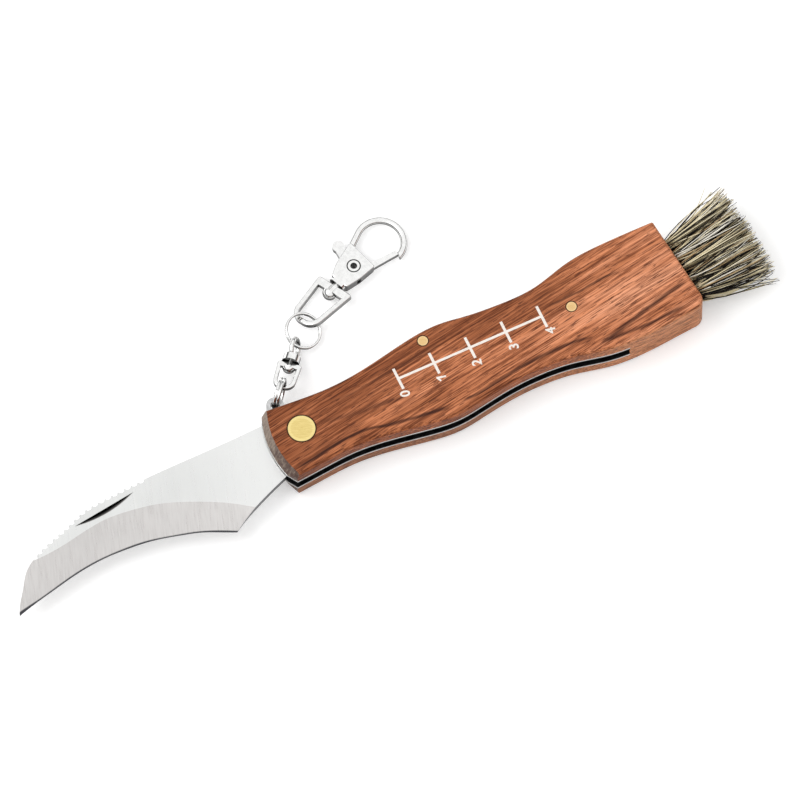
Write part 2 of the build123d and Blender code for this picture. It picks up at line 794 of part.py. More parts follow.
def hook_body():
    """Collar, slotted body and round loop in one casting, with the swivel's rivet."""
    collar_x = swivel_gap + collar_height / 2
    collar = Pos(collar_x, 0, 0) * Rot(0, 90, 0) * Cylinder(collar_radius, collar_height)
    collar &= Box(hook_body_length, hook_body_length, hook_body_thickness)
    outline = make_face(Polyline(*[hook_point(s) for s in hook_body_shares], close=True))
    outline = fillet(outline.vertices(), hook_corner)
    body = plate(outline, hook_body_thickness, 0)
    rims = body.edges().filter_by(lambda e: abs(e.center().Z) > hook_body_thickness / 2 - hook_edge)
    body = fillet(rims, hook_edge)
    slot_face = make_face(Polyline(*[hook_point(s) for s in hook_slot_shares], close=True))
    slot = plate(slot_face, hook_body_thickness - 2 * hook_cheek, 0)
    rivet = swivel_rivet(large_stem_radius, large_head_radius, large_head_height, large_bow_bar)
    body = body + hook_loop() + collar - slot - hook_rivet_hole() + rivet
    return hook_plane(0) * body


def hook_lever():
    """Thumb lever: tab, hub and the gate that closes the hook, in one flat piece."""
    hub = Pos(hook_rivet_x, 0) * Circle(lever_hub_radius)
    arm = make_face(Polyline(*[hook_point(s) for s in lever_arm_shares], close=True))
    tab = Pos(*hook_point(lever_tab_shares)) * Circle(lever_tab_radius)
    gate = make_face(Polyline(*[hook_point(s) for s in lever_gate_shares], close=True))
    gate &= Pos(hook_rivet_x, 0) * Circle(gate_reach)
    body = plate(hub + arm + tab + gate, lever_thickness, 0)
    body -= rod(hook_rivet_x, 0, -overrun, overrun, hook_rivet_radius + lever_pivot_gap)
    recess = lever_spring_radius + lever_spring_wire
    body -= rod(hook_rivet_x, 0, 0, overrun, recess)
    return hook_plane(0) * body


def lever_rivet():
    """Tubular rivet with a rolled flange on each face."""
    half = hook_body_thickness / 2
    body = rod(hook_rivet_x, 0, -half, half, hook_rivet_radius)
    body += rod(hook_rivet_x, 0, half - hook_flange_thickness, half, hook_rivet_flange)
    body += rod(hook_rivet_x, 0, -half, hook_flange_thickness - half, hook_rivet_flange)
    body -= rod(hook_rivet_x, 0, -overrun, overrun, hook_rivet_bore)
    return hook_plane(0) * body


def lever_spring():
    """Small torsion spring round the rivet, in the lever's recess."""
    pitch = lever_spring_wire * lever_spring_pitch_share
    coil = Helix(pitch, pitch * lever_spring_turns, lever_spring_radius)
    section = Plane(origin=coil @ 0, z_dir=coil % 0) * Circle(lever_spring_wire / 2)
    wire = sweep(section, path=coil, is_frenet=True)
    lift = lever_spring_wire / 2 + seat_gap
    return hook_plane(0) * Pos(hook_rivet_x, 0, lift) * wire


def main():
    """Builds every piece about the pivot and writes it in the shared frame."""
    liner_z = spring_thickness / 2 + liner_thickness / 2
    pieces = {
        "handle_block": handle_block(),
        "liner_back": liner(middle_z - liner_z),
        "liner_front": liner(middle_z + liner_z),
        "backspring": backspring(),
        "blade": blade(),
        "pivot_rivet": pivot_rivet(),
        "pivot_sleeve": pivot_sleeve(),
        "middle_pin": pin(pin_places()[0]),
        "rear_pin": pin(pin_places()[1]),
        "brush_block": brush_block(),
        "brush_bristles": brush_bristles(),
        "lanyard_ring": lanyard_ring(),
        "small_swivel_bow": small_bow(),
        "small_swivel_eye": small_eye(),
        "split_ring": split_ring(),
        "large_swivel_bow": large_bow(),
        "hook_body": hook_body(),
        "hook_lever": hook_lever(),
        "lever_rivet": lever_rivet(),
        "lever_spring": lever_spring(),
    }
    os.makedirs("parts", exist_ok=True)
    for name, shape in pieces.items():
        export_step(Pos(pivot_x, 0, 0) * shape, f"parts/{name}.step")


main()
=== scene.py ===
"""Looks of the folding mushroom knife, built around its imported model.

Metres, in the model's own frame: the knife lies on its back face at z = 0, +X runs to the
brush, +Y to the spine side and +Z out of the ruler face.
"""

import math
import random

import bmesh
import bpy
from mathutils import Matrix, Vector


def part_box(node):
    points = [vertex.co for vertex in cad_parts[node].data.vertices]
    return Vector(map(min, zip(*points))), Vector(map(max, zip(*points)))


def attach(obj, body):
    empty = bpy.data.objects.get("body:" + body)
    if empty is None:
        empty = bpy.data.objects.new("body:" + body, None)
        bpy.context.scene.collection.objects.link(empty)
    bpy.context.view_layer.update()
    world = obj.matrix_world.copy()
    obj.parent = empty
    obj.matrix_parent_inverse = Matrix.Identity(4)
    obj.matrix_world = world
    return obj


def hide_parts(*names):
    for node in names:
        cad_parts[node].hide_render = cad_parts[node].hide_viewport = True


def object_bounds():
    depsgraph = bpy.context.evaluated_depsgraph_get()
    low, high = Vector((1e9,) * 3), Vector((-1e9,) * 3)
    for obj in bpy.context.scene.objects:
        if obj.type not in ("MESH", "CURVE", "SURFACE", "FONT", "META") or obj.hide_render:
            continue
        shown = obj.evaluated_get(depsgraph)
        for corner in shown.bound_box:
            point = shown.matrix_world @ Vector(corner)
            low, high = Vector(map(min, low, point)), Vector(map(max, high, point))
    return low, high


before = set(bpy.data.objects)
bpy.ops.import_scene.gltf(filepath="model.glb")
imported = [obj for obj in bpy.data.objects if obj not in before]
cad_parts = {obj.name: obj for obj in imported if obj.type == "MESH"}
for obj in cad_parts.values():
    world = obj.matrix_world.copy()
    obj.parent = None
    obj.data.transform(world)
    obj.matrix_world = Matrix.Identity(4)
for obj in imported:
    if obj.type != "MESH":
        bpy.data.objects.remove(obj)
cad_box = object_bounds()

MM = 0.001


def round_piece(node):
    """Centre and radius, in millimetres, of an upright round piece."""
    low, high = (Vector(corner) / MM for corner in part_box(node))
    middle = (low + high) / 2
    return (middle.x, middle.y), (high.x - low.x) / 2


# Camera
VIEW_AZIMUTH = -24.43
VIEW_ELEVATION = 67.0
LENS_MM = 1000.0
SENSOR_MM = 36.0
VIEW_WIDTH = 203.05 * MM
VIEW_CENTRE = Vector((-24.03, -3.19, 13.0)) * MM
CLIP_NEAR = 0.01
CLIP_FAR = 20.0

# Light: the dark strip of the surround, between two heights given as sines, and one soft lamp
STRIP_LOW = (0.03, 0.07)
STRIP_HIGH = (0.24, 0.50)
STRIP_SHADE = 0.06
TENT_SHADE = 1.0
LAMP_PLACE = (-0.45, 0.15, 0.70)
LAMP_SIZE = 0.5
LAMP_POWER = 2.6
FLOOR_SIZE = 2.5
FLOOR_DROP = 0.1 * MM
FLOOR_GLOW = 0.33

# Places on the knife, in millimetres like all sizes below; round pieces are looked up in the frame
HANDLE_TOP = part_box("handle_block")[1][2] / MM
MIDDLE_HEIGHT = HANDLE_TOP / 2
PIVOT, HEAD_RADIUS = round_piece("pivot_rivet")
MIDDLE_PIN, PIN_RADIUS = round_piece("middle_pin")
REAR_PIN, _ = round_piece("rear_pin")
HOOK_RIVET, _ = round_piece("lever_rivet")
BLADE_LOW, BLADE_TOP = (corner[2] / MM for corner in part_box("blade"))

# Wood: stretches along or across the ruler face, from and to, with the shade at each end
GRAIN_SLANT = -10.0
MIDDLE_ALONG = (-34.0, -12.0, 0.0, 0.15)
MIDDLE_ACROSS = ((-8.0, -3.0, 0.0, 1.0), (1.5, 5.0, 1.0, 0.0))
BUTT_ALONG = (12.0, 42.0, 0.0, 0.20)
NOSE_ALONG = ((-28.0, -46.0, 0.0, 0.035), (-50.0, -57.0, 0.0, 0.08))
SPINE_ALONG = (24.0, 44.0, 0.10, 0.03)
SPINE_ACROSS = (3.0, 9.0, 0.0, 1.0)
# Painted light on the wood's side walls: paler towards the butt and on the back half
SIDE_LIGHT_ALONG = (-20.0, 30.0, 0.0, 1.0)
SIDE_LIGHT_BUTT = (15.0, 40.0, 0.0, 0.45)
SIDE_LIGHT_BACK = 0.45
SIDE_LIGHT_FADE = 0.5
SAWN_ALONG = (-50.0, -53.0, 0.0, 1.0)
SAWN_ACROSS = (-8.0, 6.0, -0.10, 0.10)

# Painted shade in the gaps of the wood round its rivet and pins: centre, radius and width
SEAT_SHADE_RINGS = ((PIVOT, HEAD_RADIUS, 0.5), (MIDDLE_PIN, PIN_RADIUS, 0.4), (REAR_PIN, PIN_RADIUS, 0.4))

# Dark lines of the wood's figure on the ruler face: points along them, width and strength
WOOD_VEINS = (
    (((-57, -9.6), (-51, -8.9), (-44.7, -7.75), (-37.3, -7.1), (-29.8, -8.3), (-11.8, -10.3)), 0.7, 1.0),
    (((-11, -10.3), (-2.5, -9.2), (12.4, -7.1), (19.3, -6.9), (23.8, -7.0), (28.7, -8.8)), 0.7, 0.95),
    (((28.5, -10.2), (31.4, -9.6), (36.7, -8.1), (41.2, -6.9), (48.5, -4.95), (57, -3.4)), 0.9, 1.0),
    (((28.5, -9.2), (30.2, -10.0), (35.5, -10.1), (40.0, -10.2), (46, -10.0), (54, -9.2)), 0.7, 0.9),
    (((20, 4.4), (29.5, 5.5), (33.9, 5.9), (42, 6.4)), 0.5, 0.9),
    (((-46, -0.3), (-37, -1.6), (-30, -2.2), (-20, -3.2)), 1.0, 0.5),
    (((-40, 3.4), (-30, 4.0), (-18, 5.6), (-6, 6.6)), 0.6, 0.5),
)
VEIN_FADE = 4.0
VEIN_CORE_SHARE = 0.2
VEIN_FIBRES = (0.35, 0.60)
VEIN_FIBRE_SHARE = 0.75

# Directions of faces between which a look changes: tilts are 1 on level faces and 0 on upright ones
WOOD_SIDE_TILTS = (0.25, 0.75)
BLADE_FLAT_TILTS = (0.9975, 0.9995)
# tilts under which the blade's upright walls are painted dark as shade
BLADE_SHADE_TILTS = (0.45, 0.80)
LINER_FACE_TILTS = (0.5, 0.8)
# tilts under which plated upright sides get painted shade
PLATED_SHADE_TILTS = (0.15, 0.70)
SAWN_NORMALS_X = (-0.18, -0.34)

# Steel, brass and plating
# Half-thicknesses about the blade's middle within which its edge is painted dark as shade
BLADE_SHADE_HALVES = (0.165, 0.195)
BLADE_ROOT = (-90.0, -60.0, 0.0, 0.8)
# Nail nick, whose hollow is painted dark as shade: ends, length shares, half-widths and depths
NICK_START = (-111.5, 1.5)
NICK_END = (-96.1, 3.7)
NICK_LENGTH_SHARES = (0.62, 0.66)
NICK_HALF_WIDTHS = (1.6, 1.8)
NICK_DEPTHS = (-0.03, -0.12)
# Depths from the liner's outer face past which its cut edge is painted dark as shade
LINER_SHADE_DEPTHS = (0.35, 0.55)
LUG_ACROSS = (7.6, 9.0)
# Shares of a head's radius over which its rim is painted paler as a highlight
HEAD_HIGHLIGHT_SHARES = (0.72, 0.92)
RINGS_PER_MM = 5.0
# Share of painted shade on plated upright sides, then the painted eyelet shade: rim radius, rim line, hole
# and fades
SIDE_SHADE_SHARE = 0.93
EYELET_RADIUS = 1.75
EYELET_LINE = 0.3
EYELET_HOLE = 0.8
EYELET_FADE = 0.12
HOLE_FADE = 0.1
DISC_CORE_SHARE = 0.4

# Stretches of a noise that are spread over two shades
NOISE_RANGE = (0.3, 0.7)
SPECKLE_RANGE = (0.35, 0.65)

# Ruler print
RULER_ZERO = Vector((-22.0, 2.35))
RULER_FOUR = Vector((18.3, 2.95))
RULER_TICKS = 5
TICK_HIGH = (3.0, 3.1)
TICK_LOW = (3.1, 3.25)
LINE_WIDTH = 0.65
TICK_WIDTH = 0.71
PRINT_THICKNESS = 0.02
NUMERAL_HEIGHT = 2.5
NUMERAL_BOLD = 0.024
NUMERAL_TURN = 78.0
NUMERAL_DROP = 4.5
NUMERAL_MOVES = (0.0, 0.0, 0.0, 0.3, 0.6)
CAP_HEIGHT_SHARE = 0.72
ONE_OUTLINE = ((0.0, -1.25), (0.5, -1.25), (0.5, 1.25), (0.05, 1.25), (-0.9, 0.4), (-0.6, 0.05), (0.0, 0.55))

# Brush: pitches, leans and sways are given up the butt's width and through its thickness
BUTT_MIDDLE = Vector((56.70, 2.0, MIDDLE_HEIGHT))
BUTT_LEAN = 7.0
TUFT_COLUMNS = 5
TUFT_ROWS = 2
TUFT_PITCH = (3.65, 3.8)
TUFT_RADIUS = 1.2
STRANDS_IN_TUFT = 105
STRAND_RADIUS = 0.175
STRAND_SIZES = (0.65, 1.25)
STRAND_TAPER = 0.55
STRAND_STEPS = 7
STRAND_SIDES = 3
ROOT_DEPTH = 0.5
BRISTLE_LENGTH = 21.3
BRISTLE_LENGTH_SHARES = (0.90, 1.03)
TUFT_LEAN = (0.8, 1.3)
EDGE_LEAN = (1.0, 1.6)
BRUSH_LEAN = 0.9
CLUMP_SWAY = (0.9, 0.5)
STRAND_SWAY = (1.35, 0.5)
KNEE_DROP = 0.3
KNEE_SWAY = (1.3, 0.4)
CLUMPS_IN_TUFT = 5
CLUMP_SHARE = 0.3
HAIR_SHARES = (0.36, 0.10, 0.37, 0.10, 0.07)
# Stretch along the brush from the hairs' roots, darkened as painted shade, to their tips
HAIR_ROOT_SHADE_ALONG = (56.0, 80.0)
STRAY_SHARE = 0.07
STRAY_SPREAD = 3.0
GOLDEN_TURN = 2.39996
BRUSH_SEED = 11
BACKING = (19.2, 7.8, 0.9)
BACKING_GAP = 0.1
BACKING_CORNER = 1.4
BACKING_CORNER_STEPS = 4


class Shader:
    """One procedural material, or the surround's shader, built node by node."""

    def __init__(self, name, tree=None):
        if tree is None:
            self.material = bpy.data.materials.new(name)
            self.material.use_nodes = True
            tree = self.material.node_tree
        self.tree = tree
        self.tree.nodes.clear()
        kind = "ShaderNodeOutputWorld" if name == "surround" else "ShaderNodeOutputMaterial"
        self.output = self.tree.nodes.new(kind)
        self.place = self.tree.nodes.new("ShaderNodeTexCoord")

    def set(self, socket, value):
        """Links a socket to an input, or gives it a constant."""
        if isinstance(value, bpy.types.NodeSocket):
            self.tree.links.new(value, socket)
        elif isinstance(value, (tuple, list)) and len(value) == 3 and socket.type == "RGBA":
            socket.default_value = (*value, 1.0)
        else:
            socket.default_value = value

    def add(self, kind, inputs=None, **settings):
        """A new node with its settings and inputs."""
        node = self.tree.nodes.new("ShaderNode" + kind)
        for key, value in settings.items():
            setattr(node, key, value)
        for key, value in (inputs or {}).items():
            self.set(node.inputs[key], value)
        return node

    def link(self, node, target, index=0):
        """Joins a node's output to an input of another."""
        self.tree.links.new(node.outputs[0], target.inputs[index])

    def scaled(self, scale, turn=0.0, move=(0, 0, 0)):
        """Object coordinates in millimetres, turned about Z and stretched."""
        mapping = self.add(
            "Mapping",
            {
                "Vector": self.place.outputs["Object"],
                "Rotation": (0, 0, math.radians(turn)),
                "Scale": (1 / MM, 1 / MM, 1 / MM),
                "Location": move,
            },
        )
        stretch = self.add("Mapping", {"Vector": mapping.outputs[0], "Scale": scale})
        return stretch.outputs[0]

    def noise(self, vector, detail, roughness=0.5, distortion=0.0):
        """Soft noise of unit size in the stretched coordinates."""
        inputs = {
            "Vector": vector,
            "Scale": 1.0,
            "Detail": detail,
            "Roughness": roughness,
            "Distortion": distortion,
        }
        return self.add("TexNoise", inputs).outputs["Fac"]

    def math(self, operation, a, b=0.0):
        """One operation on two values or sockets."""
        node = self.add("Math", operation=operation)
        self.set(node.inputs[0], a)
        self.set(node.inputs[1], b)
        return node.outputs[0]

    def vector(self, operation, a, b, output=0):
        """One operation on two vectors: output 0 is a vector and output 1 a number."""
        return self.add("VectorMath", {0: a, 1: b}, operation=operation).outputs[output]

    def flattened(self, vector):
        """A vector without its height."""
        return self.vector("MULTIPLY", vector, (1, 1, 0))

    def distance(self, vector, point):
        """How far a vector lies from a point."""
        return self.vector("DISTANCE", vector, point, 1)

    def span(self, value, low, high, to_low=0.0, to_high=1.0):
        """Maps low..high to to_low..to_high, smoothly and clamped."""
        node = self.add("MapRange", interpolation_type="SMOOTHSTEP")
        for socket, number in zip(node.inputs[:5], (value, low, high, to_low, to_high)):
            self.set(socket, number)
        return node.outputs[0]

    def ramp(self, value, *stops):
        """A colour ramp through stops of a place and a colour."""
        node = self.add("ValToRGB", {"Fac": value})
        elements = node.color_ramp.elements
        while len(elements) < len(stops):
            elements.new(0.5)
        for element, (position, colour) in zip(elements, stops):
            element.position = position
            element.color = (*colour, 1.0)
        return node.outputs["Color"]

    def mix(self, share, a, b, blend="MIX"):
        """Two colours mixed or multiplied by a share."""
        node = self.add("Mix", data_type="RGBA", blend_type=blend)
        self.set(node.inputs[0], share)
        self.set(node.inputs[6], a)
        self.set(node.inputs[7], b)
        return node.outputs[2]

    def axis(self, vector, index):
        """One part of a vector: 0, 1 or 2 for x, y or z."""
        return self.add("SeparateXYZ", {"Vector": vector}).outputs[index]

    def tilt(self):
        """1 on level faces and 0 on upright ones."""
        return self.math("ABSOLUTE", self.axis(self.place.outputs["Normal"], 2))

    def curve(self, value, points):
        """A smooth line through a few points; outside them it stays level."""
        xs = [x for x, y in points]
        ys = [y for x, y in points]
        share = self.add("MapRange")
        for socket, number in zip(share.inputs[:5], (value, min(xs), max(xs), 0.0, 1.0)):
            self.set(socket, number)
        node = self.add("FloatCurve", {"Value": share.outputs[0]})
        line = node.mapping.curves[0]
        while len(line.points) < len(points):
            line.points.new(0.5, 0.5)
        for point, (x, y) in zip(line.points, points):
            point.location = (
                (x - min(xs)) / (max(xs) - min(xs)),
                (y - min(ys)) / (max(ys) - min(ys)),
            )
        node.mapping.update()
        height = self.math("MULTIPLY", node.outputs[0], max(ys) - min(ys))
        return self.math("ADD", height, min(ys))

    def disc(self, plane, centre, radius, fade):
        """1 on a disc about a point of the ruler face, fading to 0 just outside it."""
        away = self.distance(plane, (*centre, 0))
        return self.span(away, radius + fade * DISC_CORE_SHARE, radius + fade, 1.0, 0.0)

    def bump(self, height, strength, depth):
        """A surface normal raised by a height, at most by a depth in millimetres."""
        inputs = {"Height": height, "Strength": strength, "Distance": depth * MM}
        return self.add("Bump", inputs).outputs[0]

    def finish(self, **inputs):
        """The surface shader; keywords are its sockets, with _ for a space."""
        surface = self.add("BsdfPrincipled")
        names = {key.lower().replace(" ", "_"): key for key in surface.inputs.keys()}
        for key, value in inputs.items():
            self.set(surface.inputs[names[key]], value)
        self.link(surface, self.output)
        return self.material


def wood_tone(s, along, across):
    """How light the wood is: dark at the nose and along the spine side, light at the butt."""
    broad = s.noise(s.scaled((0.035, 0.20, 0.12), GRAIN_SLANT), 2.0, 0.5, 0.4)
    band = s.noise(s.scaled((0.04, 0.75, 0.5), GRAIN_SLANT), 3.0, 0.55, 0.5)
    tone = s.math("ADD", s.math("MULTIPLY", broad, 0.35), s.math("MULTIPLY", band, 0.65))
    middle = s.span(along, *MIDDLE_ALONG)
    for side in MIDDLE_ACROSS:
        middle = s.math("MULTIPLY", middle, s.span(across, *side))
    light = s.math("ADD", middle, s.span(along, *BUTT_ALONG))
    dark = s.math("MULTIPLY", s.span(across, *SPINE_ACROSS), s.span(along, *SPINE_ALONG))
    for stretch in NOSE_ALONG:
        dark = s.math("ADD", dark, s.span(along, *stretch))
    return s.math("SUBTRACT", s.math("ADD", tone, light), dark)


def wood_grain(s, tone, streak, hair):
    """Reddish wood in slanted bands and streaks, with patches of finer fibres."""
    colour = s.ramp(
        tone,
        (0.34, (0.235, 0.072, 0.028)),
        (0.50, (0.365, 0.124, 0.052)),
        (0.62, (0.510, 0.186, 0.086)),
        (0.76, (0.660, 0.270, 0.142)),
        (0.92, (0.760, 0.345, 0.200)),
    )
    shade = s.ramp(streak, (0.36, (0.68, 0.61, 0.56)), (0.60, (1.12, 1.12, 1.12)))
    colour = s.mix(0.9, colour, shade, "MULTIPLY")
    patch = s.noise(s.scaled((0.05, 0.16, 0.16), GRAIN_SLANT), 2.0, 0.5)
    return s.mix(s.span(patch, 0.38, 0.62, 0.72, 1.0), colour, hair, "MULTIPLY")


def wood_vein(s, along, across, points, width):
    """1 on a dark line of the figure, else 0, fading at its ends."""
    away = s.math("ABSOLUTE", s.math("SUBTRACT", across, s.curve(along, points)))
    line = s.span(away, width * VEIN_CORE_SHARE, width, 1.0, 0.0)
    start = s.span(along, points[0][0], points[0][0] + VEIN_FADE)
    end = s.span(along, points[-1][0] - VEIN_FADE, points[-1][0], 1.0, 0.0)
    return s.math("MULTIPLY", line, s.math("MULTIPLY", start, end))


def wood_figure(s, colour, along, across, fibre):
    """The colour with the dark lines of the figure, a little wavy and broken by the fibres."""
    sway = s.noise(s.scaled((0.12, 0.3, 0.3)), 2.0, 0.5)
    swayed = s.math("ADD", across, s.math("SUBTRACT", sway, 0.5))
    for points, width, strength in WOOD_VEINS:
        vein = wood_vein(s, along, swayed, points, width)
        broken = s.span(fibre, *VEIN_FIBRES, strength, strength * VEIN_FIBRE_SHARE)
        vein = s.math("MULTIPLY", vein, broken)
        colour = s.mix(vein, colour, (0.042, 0.012, 0.007))
    return colour


def wood_seats(s, colour, plain):
    """The colour with painted shade in the gap round each rivet and pin."""
    flat = s.flattened(plain)
    gap_shade = 0.0
    for centre, radius, fade in SEAT_SHADE_RINGS:
        gap_shade = s.math("MAXIMUM", gap_shade, s.disc(flat, centre, radius, fade))
    # painted shade: a dark ring in the wood stands for the shadow in each gap
    return s.mix(s.math("MULTIPLY", gap_shade, 0.95), colour, (0.030, 0.012, 0.005))


def wood_sides(s, colour, plain, hair):
    """The colour with painted light on the side walls: warmer, and paler on the back half and towards the
    butt.
    """
    along = s.axis(plain, 0)
    height = s.axis(plain, 2)
    side = s.span(s.tilt(), *WOOD_SIDE_TILTS, 1.0, 0.0)
    back = s.span(height, MIDDLE_HEIGHT - SIDE_LIGHT_FADE, MIDDLE_HEIGHT + SIDE_LIGHT_FADE, 1.0, 0.0)
    most = s.math("MAXIMUM", s.math("MULTIPLY", back, SIDE_LIGHT_BACK), s.span(along, *SIDE_LIGHT_BUTT))
    # painted light: the side walls are made paler on the back half and towards the butt
    painted_side_light = s.mix(s.span(along, *SIDE_LIGHT_ALONG), (0.400, 0.205, 0.110), (0.680, 0.330, 0.165))
    painted_side_light = s.mix(0.85, painted_side_light, hair, "MULTIPLY")
    # painted light: the side walls are tinted warmer
    colour = s.mix(s.math("MULTIPLY", side, 0.8), colour, (0.92, 0.76, 0.58), "MULTIPLY")
    return s.mix(s.math("MULTIPLY", side, most), colour, painted_side_light)


def wood_nose(s, colour, along, across):
    """The colour with grey sawn end grain on the nose."""
    facing = s.axis(s.place.outputs["Normal"], 0)
    nose = s.math("MULTIPLY", s.span(facing, *SAWN_NORMALS_X), s.span(along, *SAWN_ALONG))
    dots = s.noise(s.scaled((0.8, 1.6, 0.5)), 3.0, 0.6)
    dots = s.math("ADD", dots, s.span(across, *SAWN_ACROSS))
    sawn = s.ramp(dots, (0.34, (0.100, 0.060, 0.048)), (0.66, (0.300, 0.234, 0.186)))
    return s.mix(nose, colour, sawn)


def wood_material(name, end_grain):
    """Oiled reddish hardwood with slanted streaks, dark veins and pores, and a sawn nose."""
    s = Shader(name)
    plain = s.scaled((1, 1, 1))
    along = s.axis(plain, 0)
    across = s.axis(plain, 1)
    streak = s.noise(s.scaled((0.05, 1.1, 1.0), GRAIN_SLANT), 3.0, 0.6, 0.3)
    fibre = s.noise(s.scaled((0.085, 3.4, 2.8), GRAIN_SLANT, (5, 2, 4)), 2.0, 0.65)
    hair = s.ramp(fibre, (0.40, (0.42, 0.34, 0.29)), (0.55, (1.22, 1.22, 1.20)))
    pores = s.noise(s.scaled((0.24, 3.3, 3.0), GRAIN_SLANT, (3, 8, 1)), 2.0, 0.5)
    pit = s.span(pores, 0.36, 0.43, 1.0, 0.0)

    colour = wood_grain(s, wood_tone(s, along, across), streak, hair)
    colour = wood_figure(s, colour, along, across, fibre)
    colour = s.mix(s.math("MULTIPLY", pit, 0.8), colour, (0.080, 0.022, 0.011))
    colour = wood_seats(s, colour, plain)
    colour = wood_sides(s, colour, plain, hair)
    if end_grain:
        colour = wood_nose(s, colour, along, across)
    relief = s.math("SUBTRACT", s.math("MULTIPLY", fibre, 0.5), pit)
    return s.finish(
        base_color=colour,
        roughness=s.span(streak, *NOISE_RANGE, 0.52, 0.42),
        normal=s.bump(relief, 0.25, 0.1),
        specular_ior_level=0.12,
    )


def nick_zone(s, plain):
    """1 around the nail nick, else 0."""
    along = Vector(NICK_END) - Vector(NICK_START)
    turn = -math.atan2(along.y, along.x)
    middle = (Vector(NICK_START) + Vector(NICK_END)) / 2
    centred = s.vector("SUBTRACT", plain, (*middle, 0))
    turned = s.add("Mapping", {"Vector": centred, "Rotation": (0, 0, turn)}).outputs[0]
    length = s.math("ABSOLUTE", s.axis(turned, 0))
    width = s.math("ABSOLUTE", s.axis(turned, 1))
    near, far = (along.length * share for share in NICK_LENGTH_SHARES)
    return s.math("MULTIPLY", s.span(length, near, far, 1.0, 0.0), s.span(width, *NICK_HALF_WIDTHS, 1.0, 0.0))


def blade_material():
    """Fine satin steel: pale flats, a darker ground bevel, and painted shade on its upright walls, along its
    edge and in the nick.
    """
    s = Shader("satin_steel")
    plain = s.scaled((1, 1, 1))
    height = s.axis(plain, 2)
    tilt = s.tilt()
    lines = s.noise(s.scaled((2.6, 0.16, 1.0), 18.0), 3.0, 0.6)
    cloud = s.noise(s.scaled((0.06, 0.06, 0.06)), 2.0)
    ground = s.mix(s.span(lines, 0.25, 0.75), (0.570, 0.552, 0.541), (0.625, 0.608, 0.596))
    polished = s.mix(s.span(cloud, *NOISE_RANGE), (0.700, 0.706, 0.696), (0.760, 0.766, 0.756))
    polished = s.mix(s.span(s.axis(plain, 0), *BLADE_ROOT), polished, (0.830, 0.836, 0.826))
    colour = s.mix(s.span(tilt, *BLADE_FLAT_TILTS), ground, polished)

    # painted shade along the blade's edge and on its upright walls
    away = s.math("ABSOLUTE", s.math("SUBTRACT", height, (BLADE_LOW + BLADE_TOP) / 2))
    edge = s.span(away, *BLADE_SHADE_HALVES, 1.0, 0.0)
    painted_wall_shade = s.math("MAXIMUM", edge, s.span(tilt, *BLADE_SHADE_TILTS, 1.0, 0.0))
    colour = s.mix(painted_wall_shade, colour, (0.060, 0.060, 0.066))

    depth = s.math("SUBTRACT", height, BLADE_TOP)
    sunk = s.math("MULTIPLY", s.span(depth, *NICK_DEPTHS), nick_zone(s, plain))
    # painted shade in the nail nick, darker the deeper it goes
    nick_shade = s.ramp(s.math("MULTIPLY", depth, -2.0), (0.15, (0.16, 0.155, 0.15)), (0.7, (0.015, 0.015, 0.015)))
    return s.finish(
        base_color=s.mix(sunk, colour, nick_shade),
        metallic=1.0,
        roughness=s.span(lines, *NOISE_RANGE, 0.27, 0.32),
        normal=s.bump(lines, 0.03, 0.02),
    )


def liner_material(name, outer_height):
    """Steel sheet, bright on the outer part of its cut edge beside the wood, with painted shade of the slot
    elsewhere.
    """
    s = Shader(name)
    depth = s.math("ABSOLUTE", s.math("SUBTRACT", s.axis(s.scaled((1, 1, 1)), 2), outer_height))
    face = s.math("MAXIMUM", s.span(s.tilt(), *LINER_FACE_TILTS), s.span(depth, *LINER_SHADE_DEPTHS))
    spots = s.noise(s.scaled((0.6, 0.6, 0.6)), 4.0, 0.6)
    speckle = s.span(spots, *SPECKLE_RANGE)
    edge = s.mix(speckle, (0.52, 0.51, 0.50), (0.66, 0.65, 0.64))
    # painted shade: the slot's darkness on the liner's faces and the inner part of its edge
    slot_shade = s.mix(speckle, (0.012, 0.012, 0.013), (0.035, 0.034, 0.034))
    return s.finish(
        base_color=s.mix(face, edge, slot_shade),
        metallic=0.9,
        roughness=s.span(spots, *NOISE_RANGE, 0.34, 0.5),
        normal=s.bump(spots, 0.1, 0.05),
    )


def spring_material():
    """Hardened bar, with painted shade of the slot where it lies inside the handle, and bright where the
    lanyard lug stands out.
    """
    s = Shader("backspring_steel")
    out = s.span(s.axis(s.scaled((1, 1, 1)), 1), *LUG_ACROSS)
    spots = s.noise(s.scaled((0.9, 0.9, 0.9)), 4.0, 0.6)
    speckle = s.span(spots, *SPECKLE_RANGE)
    # painted shade: the bar is darkened inside the slot
    dark = s.mix(speckle, (0.02, 0.02, 0.02), (0.05, 0.05, 0.05))
    bright = s.mix(speckle, (0.50, 0.50, 0.50), (0.64, 0.64, 0.64))
    return s.finish(
        base_color=s.mix(out, dark, bright),
        metallic=1.0,
        roughness=s.span(spots, *NOISE_RANGE, 0.3, 0.45),
        normal=s.bump(spots, 0.1, 0.05),
    )


